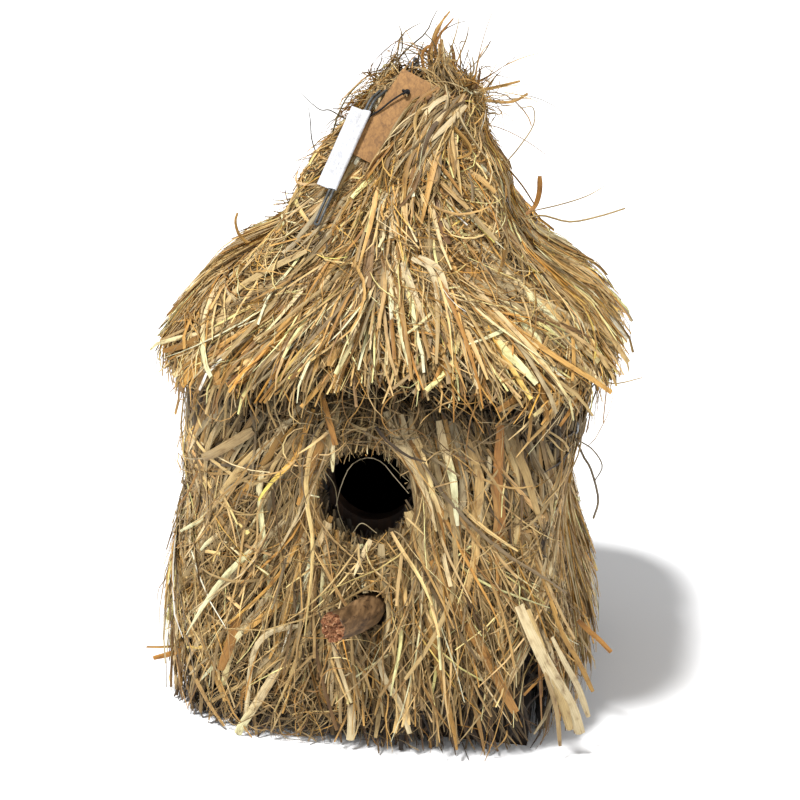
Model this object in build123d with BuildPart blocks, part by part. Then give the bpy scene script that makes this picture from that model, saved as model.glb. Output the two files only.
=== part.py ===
from build123d import *
import os
from math import atan2, cos, pi, radians, sin, tan

# Thatched nest box for garden birds. A square box of boards with a steep four-sided roof is covered
# with straw laid in courses, which thin binding wires and staples hold. It hangs from a wire loop.
# Millimetres. The origin is the centre of the floor board's underside, +Z is up, the entrance faces -Y.

# Box
box_half = 80
board = 8
floor_top = board
cavity_half = box_half - board

# Roof: every slope is described by its run h from the axis and its height z
pitch = 55
ridge_z = 290
deck = 6
deck_eave_half = 83
deck_top_z = 284
block_bottom_z = 262
slope = tan(radians(pitch))

# Entrance and perch
entrance_z = 128
entrance_radius = 19
straw_entrance_radius = 21
perch_x = 4
perch_z = 72
perch_radius = 7.5
perch_bend_y = -97
perch_tip = (-9.6, -126, 74.4)
perch_bend_radius = 40
straw_perch_radius = 10.5

# Straw: outer thickness over the deck, and the round plan that softens the corners
roof_straw = 18
course_split = 86
lap_height = 1
lip_length = 8
lip_height = 1.5
lip_slant = 2
crown_flat_z = 295
shank_clearance = 4
eave_half = 106
eave_round = 2
eave_tuck = 8
eave_shoulder_z = 183
eave_tip_z = 172
eave_bottom_z = 168
wall_corner_radius = 119
eave_corner_radius = 130
crown_corner_radius = 31
straw_clearance = 1
straw_bottom_z = 4
wall_profile = [(101, straw_bottom_z), (102, 52), (95, 108), (99, 140), (99, 164), (86, 167)]

# Crown tuft
tuft_base = (17, 3)
tuft_tip = (12, 4, 335)
tuft_base_radius = 8.2
tuft_tip_radius = 3

# Fasteners
nail_radius = 0.9
nail_head_radius = 2
nail_head = 0.8
nail_length = 24
nail_heights = (28, 88, 148)
nail_sides = (-48, 48)
staple_wire = 0.6
staple_span = 5
staple_bend = 1
staple_bite = 4
staple_places = {"wall": (-60, -20, 20, 60), "eave": (-35, 0, 35), "crown": (-8, 8)}
binding_radius = 0.6
wall_binding_half = 90
binding_z = {"wall": 156, "eave": 203, "crown": 266}
binding_corner = {"wall": 30, "eave": 22, "crown": 14}
binding_cover = {"eave": 10, "crown": 8}

# Screw eye and hanger; the hanger lies on the roof along its own heading and hinges in the eye
eye_z = 308
eye_wire = 1
eye_ring = 2.3
shank_radius = 1.2
shank_tip_z = 266
hanger_heading = (-0.4423, -0.8969)
hanger_wire = 0.65
hanger_eye_half = 2
hanger_leg_half = 1.1
hanger_shoulder = (33.7, 295)
hanger_end = (73.7, 243.5)
hanger_bends = (1.3, 12, 0.9)

# Labels
label_start = 6
label_length = 41
label_flag = 5.8
label_flag_lift = 28
paper = 0.3
label_gap = 0.12
label_edge_flat = 0.01
tag_corner = (-3, -18, 308.2)
tag_turn = -9
tag_length = 47.5
tag_width = 30
tag_card = 0.6
tag_hole_radius = 1.6
tag_hole_inset = (8, 10)
string_radius = 0.45
string_route = [
    (-23.8, -32.7, 280),
    (-20.6, -33.4, 283.9),
    (-15.5, -33.2, 287.9),
    (-10.5, -31.5, 290.9),
    (-5.4, -28.9, 295.9),
]
knot_radius = 1.9

sides = {"front": (0, -1), "back": (0, 1), "left": (-1, 0), "right": (1, 0)}


def save(part, name):
    part.label = name
    export_step(part, f"parts/{name}.step")


def section_plane(side):
    """Vertical plane through the axis, with its x running outwards on that side and its y upwards."""
    out_x, out_y = sides[side]
    return Plane(origin=(0, 0, 0), x_dir=(out_x, out_y, 0), z_dir=(out_y, -out_x, 0))


def roof_plane(side, height=0):
    """Plane of one roof slope, a given height square to the boards' underside."""
    out_x, out_y = sides[side]
    tilt = radians(pitch)
    normal = (sin(tilt) * out_x, sin(tilt) * out_y, cos(tilt))
    return Plane(origin=(0, 0, ridge_z + height / cos(tilt)), z_dir=normal)


def on_slope(distance, height):
    """Point (h, z) at a distance down the slope from the ridge point and a height square to it."""
    tilt = radians(pitch)
    run = distance * cos(tilt) + height * sin(tilt)
    return (run, ridge_z - distance * sin(tilt) + height * cos(tilt))


def slope_run(z, height):
    """Run h at which a roof surface of a given height square to the boards' underside reaches z."""
    return (ridge_z + height / cos(radians(pitch)) - z) / slope


def cut_under_roof():
    """Trim the solid in hand to the underside of the four roof boards."""
    for side in sides:
        split(bisect_by=roof_plane(side), keep=Keep.BOTTOM)


def mitre(side):
    """Trim the solid in hand to the quarter of the plan that belongs to one side."""
    out_x, out_y = sides[side]
    for turn in (-1, 1):
        normal = (-out_x - turn * out_y, -out_y + turn * out_x, 0)
        split(bisect_by=Plane(origin=(0, 0, 0), z_dir=normal), keep=Keep.BOTTOM)


def quarter(side, outline, corner=None, holes=()):
    """One side of a four-sided ring: a section, mitred and rounded off in plan, with round holes."""
    with BuildPart() as part:
        with BuildSketch(section_plane(side)):
            with BuildLine():
                Polyline(*outline, close=True)
            make_face()
        extrude(amount=2 * eave_half, both=True)
        mitre(side)
        if corner:
            with BuildSketch(Plane.XZ):
                with BuildLine():
                    Polyline(*corner, close=True)
                make_face()
            revolve(axis=Axis.Z, mode=Mode.INTERSECT)
        for x, z, radius in holes:
            with BuildSketch(Plane.XZ.offset(box_half)):
                with Locations((x, z)):
                    Circle(radius)
            extrude(amount=box_half, mode=Mode.SUBTRACT)
    return part


def nails(drives):
    """A group of nails, each with its head flush at a place and driven in a direction."""
    with BuildPart() as part:
        for place, direction in drives:
            head_plane = Plane(origin=place, z_dir=direction)
            with BuildSketch(head_plane):
                Circle(nail_head_radius)
            extrude(amount=nail_head)
            with BuildSketch(head_plane):
                Circle(nail_radius)
            extrude(amount=nail_length)
    return part


os.makedirs("parts", exist_ok=True)

# Floor board
with BuildPart() as floor_board:
    with BuildSketch():
        Rectangle(2 * box_half, 2 * box_half)
    extrude(amount=floor_top)
save(floor_board.part, "floor_board")

# Walls: the front and back boards run the full width and the side boards stand between them
wall_middle = box_half - board / 2
for side, (out_x, out_y) in sides.items():
    width = 2 * box_half if out_y else 2 * cavity_half
    size_x, size_y = (width, board) if out_y else (board, width)
    with BuildPart() as wall:
        with BuildSketch(Plane.XY.offset(floor_top)):
            with Locations((out_x * wall_middle, out_y * wall_middle)):
                Rectangle(size_x, size_y)
        extrude(amount=ridge_z - floor_top)
        cut_under_roof()
        if side == "front":
            with BuildSketch(Plane.XZ.offset(cavity_half)):
                with Locations((0, entrance_z)):
                    Circle(entrance_radius)
                with Locations((perch_x, perch_z)):
                    Circle(perch_radius)
            extrude(amount=board, mode=Mode.SUBTRACT)
    save(wall.part, f"{side}_wall")

# Roof boards, mitred at the hips, cut flat at the top for the apex block
deck_eave = deck_eave_half / cos(radians(pitch))
deck_outline = [
    (slope_run(deck_top_z, 0), deck_top_z),
    (slope_run(deck_top_z, deck), deck_top_z),
    on_slope(deck_eave, deck),
    on_slope(deck_eave, 0),
]
for side in sides:
    save(quarter(side, deck_outline).part, f"{side}_roof_board")

# Apex block under the roof boards, bored for the screw eye
with BuildPart() as apex_block:
    with BuildSketch(Plane.XY.offset(block_bottom_z)):
        Rectangle(box_half, box_half)
    extrude(amount=deck_top_z - block_bottom_z)
    cut_under_roof()
    with BuildSketch(Plane.XY.offset(shank_tip_z)):
        Circle(shank_radius)
    extrude(amount=deck_top_z - shank_tip_z, mode=Mode.SUBTRACT)
save(apex_block.part, "apex_block")

# Straw on the walls, hanging from under the eaves to just above the ground
wall_straw = [
    (box_half, straw_bottom_z),
    *wall_profile,
    (deck_eave_half, ridge_z - slope * deck_eave_half - straw_clearance),
    (box_half, ridge_z - slope * box_half - straw_clearance),
]
wall_corner = [
    (0, 0),
    (wall_corner_radius, 0),
    (wall_corner_radius, eave_tip_z),
    (0, eave_tip_z + box_half),
]
straw_holes = [(0, entrance_z, straw_entrance_radius), (perch_x, perch_z, straw_perch_radius)]
for side in sides:
    holes = straw_holes if side == "front" else []
    save(quarter(side, wall_straw, wall_corner, holes).part, f"{side}_wall_straw")

# Straw on the roof in two courses; the upper course laps over the head of the lower one
straw_top = deck + roof_straw
lap_inner = on_slope(course_split, deck)
lap_outer = on_slope(course_split + lip_length, straw_top + lap_height)
lower_course = [
    lap_inner,
    lap_outer,
    (eave_half - eave_round, eave_shoulder_z),
    (eave_half, eave_tip_z),
    (deck_eave_half + eave_tuck, eave_bottom_z),
    on_slope(deck_eave, deck),
]
upper_course = [
    (slope_run(deck_top_z, deck), deck_top_z),
    lap_inner,
    lap_outer,
    on_slope(course_split + lip_length + lip_slant, straw_top + lip_height),
    on_slope(course_split / 2, straw_top),
    (slope_run(crown_flat_z, straw_top), crown_flat_z),
    (shank_clearance, crown_flat_z),
    (shank_clearance, deck_top_z),
]
roof_corner = [
    (0, eave_bottom_z - straw_clearance),
    (eave_corner_radius, eave_bottom_z - straw_clearance),
    (eave_corner_radius, eave_shoulder_z),
    (crown_corner_radius, crown_flat_z),
    (0, crown_flat_z),
]
for side in sides:
    save(quarter(side, lower_course, roof_corner).part, f"{side}_lower_roof_straw")
    save(quarter(side, upper_course, roof_corner).part, f"{side}_upper_roof_straw")

# Tuft of straw that stands on the crown beside the screw eye
with BuildPart() as crown_tuft:
    with BuildSketch(Plane.XY.offset(crown_flat_z)):
        with Locations(tuft_base):
            Circle(tuft_base_radius)
    with BuildSketch(Plane.XY.offset(tuft_tip[2])):
        with Locations(tuft_tip[:2]):
            Circle(tuft_tip_radius)
    loft()
save(crown_tuft.part, "crown_tuft")

# Perch: a crooked branch stub that fills its hole in the front wall
with BuildPart() as perch:
    with BuildLine() as perch_line:
        FilletPolyline(
            (perch_x, -cavity_half, perch_z),
            (perch_x, perch_bend_y, perch_z),
            perch_tip,
            radius=perch_bend_radius,
        )
    with BuildSketch(Plane.XZ.offset(cavity_half)):
        with Locations((perch_x, perch_z)):
            Circle(perch_radius)
    sweep()
save(perch.part, "perch")

# Nails: through the front and back boards into the side boards, up through the floor, down the slopes
edges = (-wall_middle, wall_middle)
wall_drives = [
    ((x, turn * box_half, z), (0, -turn, 0))
    for turn in (-1, 1)
    for x in edges
    for z in nail_heights
]
save(nails(wall_drives).part, "wall_nails")

floor_spots = [(x, y) for x in nail_sides for y in edges] + [(x, y) for x in edges for y in nail_sides]
save(nails([((x, y, 0), (0, 0, 1)) for x, y in floor_spots]).part, "floor_nails")

roof_nail_z = ridge_z + deck / cos(radians(pitch)) - slope * (wall_middle + nail_head_radius)
roof_spots = [
    (out_x * wall_middle - out_y * across, out_y * wall_middle + out_x * across)
    for out_x, out_y in sides.values()
    for across in (nail_sides[0], 0, nail_sides[1])
]
save(nails([((x, y, roof_nail_z), (0, 0, -1)) for x, y in roof_spots]).part, "roof_nails")


# Binding wires, one round each course, and the staples that pin them to the boards
def binding(half, z, corner_radius):
    """A closed loop of wire round the box, square with rounded corners."""
    corners = [(half, -half), (half, half), (-half, half), (-half, -half)]
    with BuildPart() as part:
        with BuildLine(Plane.XY.offset(z)) as route:
            FilletPolyline(*corners, radius=corner_radius, close=True)
        with BuildSketch(Plane(origin=route.line @ 0, z_dir=route.line % 0)):
            Circle(binding_radius)
        sweep()
    return part


# The wall binding lies half way through its straw, the roof bindings at a height over the roof boards
binding_half = {name: slope_run(binding_z[name], deck + cover) for name, cover in binding_cover.items()}
binding_half["wall"] = wall_binding_half
staple_end = {name: slope_run(binding_z[name], deck) - staple_bite for name in binding_cover}
staple_end["wall"] = box_half - staple_bite
for name, z in binding_z.items():
    save(binding(binding_half[name], z, binding_corner[name]).part, f"{name}_binding")

with BuildPart() as staples:
    for name, places in staple_places.items():
        z = binding_z[name]
        crown = binding_half[name] + binding_radius + staple_wire
        for out_x, out_y in sides.values():
            for across in places:
                bridge = Vector(out_x * crown - out_y * across, out_y * crown + out_x * across, z)
                leg = Vector(-out_x, -out_y, 0) * (crown - staple_end[name])
                rise = Vector(0, 0, staple_span / 2)
                bent = (bridge + leg - rise, bridge - rise, bridge + rise, bridge + leg + rise)
                with BuildLine() as wire:
                    FilletPolyline(*bent, radius=staple_bend)
                with BuildSketch(Plane(origin=wire.line @ 0, z_dir=wire.line % 0)):
                    Circle(staple_wire)
                sweep()
save(staples.part, "staples")

# Screw eye: its ring stands in the hanger's plane of swing
heading = Vector(*hanger_heading, 0)
hanger_plane = Plane(origin=(0, 0, 0), x_dir=heading, z_dir=(0, 0, 1))
ring_plane = Plane(origin=(0, 0, eye_z), x_dir=heading, z_dir=heading.cross(Vector(0, 0, 1)))
with BuildPart() as screw_eye:
    with BuildSketch(Plane.XY.offset(shank_tip_z)):
        Circle(shank_radius)
    extrude(amount=eye_z - eye_ring - shank_tip_z)
    with Locations(ring_plane):
        Torus(eye_ring, eye_wire)
save(screw_eye.part, "screw_eye")

# Hanger: a slim closed loop of coated wire through the eye, bent over the shoulder of the straw
shoulder_run, shoulder_z = hanger_shoulder
end_run, end_z = hanger_end
with BuildPart() as hanger_loop:
    with BuildLine(hanger_plane) as hanger_line:
        FilletPolyline(
            (0, 0, eye_z),
            (0, hanger_eye_half, eye_z),
            (shoulder_run, hanger_leg_half, shoulder_z),
            (end_run, hanger_leg_half, end_z),
            (end_run, 0, end_z),
            radius=hanger_bends,
        )
    with BuildSketch(Plane(origin=hanger_line.line @ 0, z_dir=hanger_line.line % 0)):
        Circle(hanger_wire)
    sweep()
    mirror(about=Plane(origin=(0, 0, 0), z_dir=hanger_plane.y_dir))
save(hanger_loop.part, "hanger_loop")

# Blank price label: a strip of paper folded round both legs of the hanger and stuck to itself
run_angle = atan2(shoulder_z - end_z, end_run - shoulder_run)
run_dir = heading * cos(run_angle) - Vector(0, 0, sin(run_angle))
label_origin = heading * shoulder_run + Vector(0, 0, shoulder_z) + run_dir * label_start
label_plane = Plane(origin=label_origin, x_dir=hanger_plane.y_dir, z_dir=run_dir)
slot_width = 2 * (hanger_leg_half + hanger_wire + label_gap)
slot_height = 2 * (hanger_wire + label_gap)
slot_round = slot_height / 2 - label_edge_flat
with BuildPart() as price_label:
    with BuildSketch(label_plane):
        RectangleRounded(slot_width + 2 * paper, slot_height + 2 * paper, slot_round + paper)
        with Locations((-slot_width / 2, 0)):
            Rectangle(label_flag, 2 * paper, rotation=-label_flag_lift, align=(Align.MAX, Align.CENTER))
        RectangleRounded(slot_width, slot_height, slot_round, mode=Mode.SUBTRACT)
    extrude(amount=label_length)
save(price_label.part, "price_label")

# Blank swing tag of brown card, lying over the front slope, turned a little from the hanger's line
slope_normal = roof_plane("front").z_dir
beside = hanger_plane.y_dir
on_face = beside - slope_normal * slope_normal.dot(beside)
tag_across = on_face.rotate(Axis((0, 0, 0), slope_normal), tag_turn)
tag_plane = Plane(origin=tag_corner, x_dir=tag_across, z_dir=slope_normal)
with BuildPart() as swing_tag:
    with BuildSketch(tag_plane):
        Rectangle(tag_width, tag_length, align=(Align.MIN, Align.MAX))
        with Locations((tag_hole_inset[0], -tag_hole_inset[1])):
            Circle(tag_hole_radius, mode=Mode.SUBTRACT)
    extrude(amount=tag_card / 2, both=True)
save(swing_tag.part, "swing_tag")

# Knot on the face of the tag, and its thread, which runs under the hanger and into the straw
knot_height = tag_card / 2 + knot_radius
knot_centre = tag_plane.from_local_coords(Vector(tag_hole_inset[0], -tag_hole_inset[1], knot_height))
with BuildPart() as tag_knot:
    with Locations(knot_centre):
        Sphere(knot_radius)
save(tag_knot.part, "tag_knot")

route = [*string_route, knot_centre]
runs = [Vector(*b) - Vector(*a) for a, b in zip(route, route[1:])]
turns = [before.get_angle(after) for before, after in zip(runs, runs[1:])]
radii = [
    0.45 * min(before.length, after.length) / tan(radians(turn / 2))
    for before, after, turn in zip(runs, runs[1:], turns)
]
with BuildPart() as tag_string:
    with BuildLine() as string_line:
        FilletPolyline(*route, radius=radii)
    with BuildSketch(Plane(origin=string_line.line @ 0, z_dir=string_line.line % 0)):
        Circle(string_radius)
    sweep()
save(tag_string.part, "tag_string")

string_length = string_line.wire().length
print("tag string: length", round(string_length, 1), "radii", [round(radius, 1) for radius in radii])
expected_volume = string_length * pi * string_radius**2
print("tag string: volume", round(tag_string.part.volume, 2), "expected", round(expected_volume, 2))
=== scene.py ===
import math

import bpy
import numpy as np
from mathutils import Matrix, Vector


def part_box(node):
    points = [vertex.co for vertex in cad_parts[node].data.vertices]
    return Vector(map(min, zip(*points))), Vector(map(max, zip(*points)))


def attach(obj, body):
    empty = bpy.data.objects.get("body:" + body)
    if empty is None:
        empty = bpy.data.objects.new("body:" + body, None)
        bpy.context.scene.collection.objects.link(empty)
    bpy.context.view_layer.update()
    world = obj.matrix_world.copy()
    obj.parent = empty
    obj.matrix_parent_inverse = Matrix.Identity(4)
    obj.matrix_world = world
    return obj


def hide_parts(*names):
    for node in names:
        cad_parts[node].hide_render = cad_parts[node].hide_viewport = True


# A thatched nest box for garden birds. Straw is drawn strand by strand in millimetres over the packed
# boards, and turned into metres when a mesh is made.

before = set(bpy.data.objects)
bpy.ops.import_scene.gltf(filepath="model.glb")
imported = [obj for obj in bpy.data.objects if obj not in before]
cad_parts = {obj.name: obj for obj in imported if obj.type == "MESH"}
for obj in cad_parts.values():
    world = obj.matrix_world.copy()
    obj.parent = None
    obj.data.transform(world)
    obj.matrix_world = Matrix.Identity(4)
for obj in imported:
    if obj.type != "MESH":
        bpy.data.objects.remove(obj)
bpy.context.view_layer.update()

MM = 0.001
PITCH = math.radians(55)
SLOPE = math.tan(PITCH)
SIDE_PHI = {"front": 0.0, "right": math.pi / 2, "back": math.pi, "left": -math.pi / 2}
ENTRANCE = (0.0, 128.0)
PERCH_ROOT = (4.0, 72.0)
HANGER_ALONG = np.array((-0.4423, -0.8969))
HANGER_ACROSS = np.array((0.8969, -0.4423))
FACE = np.array((0.0, -math.sin(PITCH), math.cos(PITCH)))
TAG_CORNER = np.array((-3.0, -18.0, 308.2))
TAG_SIZE = (30.0, 47.5)
TAG_TURN = math.radians(-9)
# Points with a lower y than this are in front of the box
FRONT_Y = -60
# Half-width over the wall boards, and the heights where the roof's boards and straw would reach the axis
WALL_BOARDS = 80.3
DECK_APEX_Z = 301.0
STRAW_APEX_Z = 331.8


# ---------------------------------------------------------------- materials

def linear(*rgb):
    """Linear colour of an 8-bit sRGB one."""
    c = np.array(rgb, float) / 255
    return np.where(c <= 0.04045, c / 12.92, ((c + 0.055) / 1.055) ** 2.4)


def rgba(*rgb):
    return (*[float(v) for v in linear(*rgb)], 1.0)


def shown(name, data):
    """A new object in the scene."""
    made = bpy.data.objects.new(name, data)
    bpy.context.scene.collection.objects.link(made)
    return made


WHITE = rgba(255, 255, 255)
CHALK = rgba(255, 250, 240)


class Nodes:
    """A material's node tree, with short calls that add nodes and links."""

    def __init__(self, name, roughness=0.6, specular=0.4, metallic=0.0):
        self.material = bpy.data.materials.new(name)
        self.material.use_nodes = True
        self.tree = self.material.node_tree
        self.shader = self.tree.nodes["Principled BSDF"]
        self.shader.inputs["Roughness"].default_value = roughness
        self.shader.inputs["Specular IOR Level"].default_value = specular
        self.shader.inputs["Metallic"].default_value = metallic

    def add(self, kind, **settings):
        node = self.tree.nodes.new(kind)
        for key, value in settings.items():
            setattr(node, key, value)
        return node

    def link(self, a, b):
        self.tree.links.new(a, b)

    def scaled(self, source, scale, location=(0, 0, 0)):
        """The source coordinates stretched by scale."""
        node = self.add("ShaderNodeMapping")
        node.inputs["Scale"].default_value = scale
        node.inputs["Location"].default_value = location
        self.link(source, node.inputs["Vector"])
        return node.outputs["Vector"]

    def noise(self, vector, detail=3.0, roughness=0.55, distortion=0.0):
        node = self.add("ShaderNodeTexNoise")
        node.inputs["Scale"].default_value = 1.0
        node.inputs["Detail"].default_value = detail
        node.inputs["Roughness"].default_value = roughness
        node.inputs["Distortion"].default_value = distortion
        self.link(vector, node.inputs["Vector"])
        return node.outputs["Fac"]

    def ramp(self, source, stops):
        """Colour along a factor, from (position, colour) stops."""
        node = self.add("ShaderNodeValToRGB")
        elements = node.color_ramp.elements
        for spot, (position, colour) in zip(elements, (stops[0], stops[-1])):
            spot.position = position
            spot.color = colour
        for position, colour in stops[1:-1]:
            elements.new(position).color = colour
        self.link(source, node.inputs["Fac"])
        return node.outputs["Color"]

    def span(self, source, low, high):
        """The middle of a noise's range, 0.3 to 0.7, as low to high."""
        node = self.add("ShaderNodeMapRange")
        node.inputs["From Min"].default_value = 0.3
        node.inputs["From Max"].default_value = 0.7
        node.inputs["To Min"].default_value = low
        node.inputs["To Max"].default_value = high
        self.link(source, node.inputs["Value"])
        return node.outputs["Result"]

    def stain(self, base, stain, factor):
        """The base colour multiplied by a stain's."""
        node = self.add("ShaderNodeMix", data_type="RGBA", blend_type="MULTIPLY")
        node.inputs[0].default_value = factor
        self.link(base, node.inputs[6])
        self.link(stain, node.inputs[7])
        return node.outputs[2]

    def place(self):
        """The object's own coordinates, in metres."""
        return self.add("ShaderNodeTexCoord").outputs["Object"]

    def colour(self, socket):
        self.link(socket, self.shader.inputs["Base Color"])

    def rough(self, socket):
        self.link(socket, self.shader.inputs["Roughness"])

    def bump(self, height, distance, strength=1.0):
        node = self.add("ShaderNodeBump")
        node.inputs["Distance"].default_value = distance
        node.inputs["Strength"].default_value = strength
        self.link(height, node.inputs["Height"])
        self.link(node.outputs["Normal"], self.shader.inputs["Normal"])


def straw_material():
    """Dry straw: each strand's tint, its own colour with painted shade, and long streaks, blotches and
    grooves along it.
    """
    m = Nodes("straw", roughness=0.55, specular=0.35)
    tint = m.add("ShaderNodeAttribute", attribute_name="tint").outputs["Color"]
    along = m.add("ShaderNodeUVMap", uv_map="strand").outputs["UV"]
    streaks = m.noise(m.scaled(along, (3.2, 0.06, 1.0)), detail=4.0, roughness=0.65)
    blotches = m.noise(m.scaled(along, (0.35, 0.14, 1.0), (17.0, 5.0, 0.0)), detail=3.0)
    lines = m.ramp(streaks, [(0.25, rgba(160, 152, 140)), (0.52, rgba(228, 226, 222)), (0.78, WHITE)])
    spots = m.ramp(blotches, [(0.28, rgba(150, 126, 98)), (0.46, rgba(236, 230, 220)), (0.75, WHITE)])
    m.colour(m.stain(m.stain(tint, lines, 1.0), spots, 0.85))
    m.rough(m.span(streaks, 0.42, 0.7))
    m.bump(streaks, 0.00025, 0.8)
    return m.material


def grained(name, *, scale, detail, stops, rough, bump, grain_roughness=0.6, distortion=0.0, stain=None,
            **base):
    """A material whose grain gives its colour, roughness and bump. stain is a noise, a ramp and a factor."""
    m = Nodes(name, **base)
    place = m.place()
    grain = m.noise(m.scaled(place, scale), detail, grain_roughness, distortion)
    colour = m.ramp(grain, stops)
    if stain:
        stretch, location, noise, stain_stops, factor = stain
        spots = m.noise(m.scaled(place, stretch, location), *noise)
        colour = m.stain(colour, m.ramp(spots, stain_stops), factor)
    m.colour(colour)
    m.rough(m.span(grain, *rough))
    m.bump(grain, *bump)
    return m.material


def metal_material(name, dark, light, roughness, metallic, scale):
    """Drawn metal wire with the dull spots of weather on it."""
    return grained(name, scale=(scale, scale, scale), detail=4.0, stops=[(0.35, dark), (0.68, light)],
                   rough=(roughness + 0.12, roughness - 0.08), bump=(0.00008, 0.6), roughness=roughness,
                   specular=0.5, metallic=metallic)


def paper_material(name, dark, light, fibre, roughness):
    """Paper or card with short fibres and a faint cloudiness."""
    cloud = [(0.35, rgba(226, 222, 216)), (0.65, WHITE)]
    return grained(name, scale=(fibre, fibre * 0.45, fibre * 0.7), detail=5.0, grain_roughness=0.65,
                   distortion=0.8, stops=[(0.34, dark), (0.6, light)],
                   rough=(roughness - 0.08, roughness + 0.1), bump=(0.00012, 0.6), roughness=roughness,
                   specular=0.3,
                   stain=((90.0, 90.0, 90.0), (0, 0, 0), (2.0,), cloud, 0.8))


def thread_material():
    """Black twisted cotton thread, with fine lint."""
    m = Nodes("black_thread", roughness=0.85, specular=0.25)
    place = m.place()
    twist = m.add("ShaderNodeTexWave", wave_type="BANDS", bands_direction="DIAGONAL")
    twist.inputs["Scale"].default_value = 900.0
    twist.inputs["Distortion"].default_value = 1.5
    m.link(place, twist.inputs["Vector"])
    m.colour(m.ramp(twist.outputs["Fac"], [(0.2, rgba(8, 8, 9)), (0.8, rgba(38, 37, 38))]))
    m.rough(m.span(twist.outputs["Fac"], 0.75, 0.95))
    m.bump(twist.outputs["Fac"], 0.0001, 0.8)
    return m.material


STRAW = straw_material()
# Dark stained softwood with upright grain
BOARD = grained(
    "board_wood", roughness=0.75, specular=0.25, scale=(260.0, 260.0, 14.0), detail=5.0, distortion=0.6,
    stops=[(0.3, rgba(20, 13, 8)), (0.5, rgba(42, 28, 17)), (0.72, rgba(66, 45, 27))],
    stain=((30.0, 30.0, 9.0), (3.0, 1.0, 2.0), (2.0,), [(0.35, rgba(150, 130, 115)), (0.65, CHALK)], 0.9),
    rough=(0.62, 0.85), bump=(0.0004, 0.7),
)
# Thin brown bark with dark lenticels and scuffs that run round and along the branch
SCUFFS = [(0.3, rgba(86, 58, 40)), (0.42, rgba(235, 225, 210)), (0.8, CHALK)]
BARK = grained(
    "branch_bark", roughness=0.6, specular=0.35, scale=(420.0, 60.0, 420.0), detail=4.0, distortion=0.4,
    stops=[(0.3, rgba(56, 41, 26)), (0.5, rgba(92, 70, 46)), (0.72, rgba(132, 105, 73))],
    stain=((300.0, 240.0, 300.0), (2.0, 7.0, 1.0), (3.0, 0.7), SCUFFS, 0.9),
    rough=(0.45, 0.7), bump=(0.0005, 0.8),
)
# The branch's torn end grain, reddish brown with pale chips
CUT = grained(
    "branch_cut", roughness=0.85, specular=0.2, scale=(700.0, 700.0, 700.0), detail=5.0, grain_roughness=0.7,
    stops=[(0.3, rgba(58, 34, 22)), (0.45, rgba(116, 72, 46)), (0.58, rgba(160, 114, 78)),
           (0.75, rgba(214, 186, 150))],
    rough=(0.7, 0.95), bump=(0.0009,),
)
STEEL = metal_material("galvanised_steel", rgba(96, 98, 100), rgba(168, 170, 172), 0.42, 0.9, 700.0)
BINDING = metal_material("binding_wire", rgba(58, 48, 38), rgba(118, 104, 86), 0.5, 0.8, 500.0)
COATED = metal_material("coated_wire", rgba(38, 39, 38), rgba(78, 79, 76), 0.5, 0.0, 420.0)
LABEL = paper_material("label_paper", rgba(176, 178, 184), rgba(206, 208, 213), 900.0, 0.5)
CARD = paper_material("brown_card", rgba(120, 86, 50), rgba(160, 120, 74), 700.0, 0.75)
THREAD = thread_material()

CAD_LOOKS = {
    "floor_board": BOARD, "apex_block": BOARD, "wall_nails": STEEL, "floor_nails": STEEL,
    "roof_nails": STEEL, "staples": STEEL, "screw_eye": STEEL, "wall_binding": BINDING,
    "eave_binding": BINDING, "crown_binding": BINDING, "hanger_loop": COATED, "price_label": LABEL,
    "swing_tag": CARD,
}
for side_name in SIDE_PHI:
    CAD_LOOKS[f"{side_name}_wall"] = BOARD
    CAD_LOOKS[f"{side_name}_roof_board"] = BOARD
for node_name, look in CAD_LOOKS.items():
    node_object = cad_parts[node_name]
    node_object.data.materials.clear()
    node_object.data.materials.append(look)


# ---------------------------------------------------------------- straw geometry

def wall_course(z):
    """Half-widths of the wall boards and of the straw's outer face at height z."""
    inner = np.full_like(z, WALL_BOARDS)
    outer = np.interp(z, (0, 4, 52, 108, 140, 164, 176, 190), (99, 101, 102, 95, 99, 98, 92, 90))
    return inner, outer


def roof_course(z):
    """Half-widths of the roof boards and of the straw's outer face at height z."""
    inner = np.clip((DECK_APEX_Z - z) / SLOPE, 1.0, 84.0)
    eaves = np.interp(z, (160, 172, 183, 190), (103, 105.5, 105, 110))
    outer = np.minimum((STRAW_APEX_Z - z) / SLOPE, eaves)
    return inner, np.maximum(outer, np.interp(z, (295, 300, 310, 330), (25.8, 23, 15, 9)))


def thinned(course, phi, z):
    """Share of the straw's depth that is there: the sides are thinner in places than the front."""
    left = np.interp(-phi, np.radians((38, 58, 122, 150)), (0, 1, 1, 0))
    right = np.interp(phi, np.radians((40, 58, 130, 150)), (0, 1, 1, 0))
    if course is roof_course:
        left = left * np.interp(z, (212, 232, 248, 260, 276, 290, 330), (0, 0.85, 0.8, 0.35, 0.35, 0.6, 0.5))
        right = right * np.interp(z, (208, 228, 246, 260, 276, 290), (0, 0.6, 0.6, 0.35, 0.3, 0))
    else:
        left = left * np.interp(z, (120, 140, 165, 180), (0, 0.2, 0.2, 0))
        right = right * np.interp(z, (30, 100, 134, 150, 180), (0, 0.6, 0.55, 0.28, 0.2))
    return 1 - left - right


def radius_at(course, phi, z, n):
    inner, outer = course(z)
    s, c = np.abs(np.sin(phi)), np.abs(np.cos(phi))
    box = inner / np.maximum(s, c)
    soft = outer / (s**4 + c**4) ** 0.25
    return box + n * thinned(course, phi, z) * (soft - box)


def place(course, phi, z, n):
    """Points at direction phi, height z and depth n, which is 0 on the boards and 1 on the straw's face."""
    r = radius_at(course, phi, z, n)
    return np.stack((r * np.sin(phi), -r * np.cos(phi), z), -1)


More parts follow.
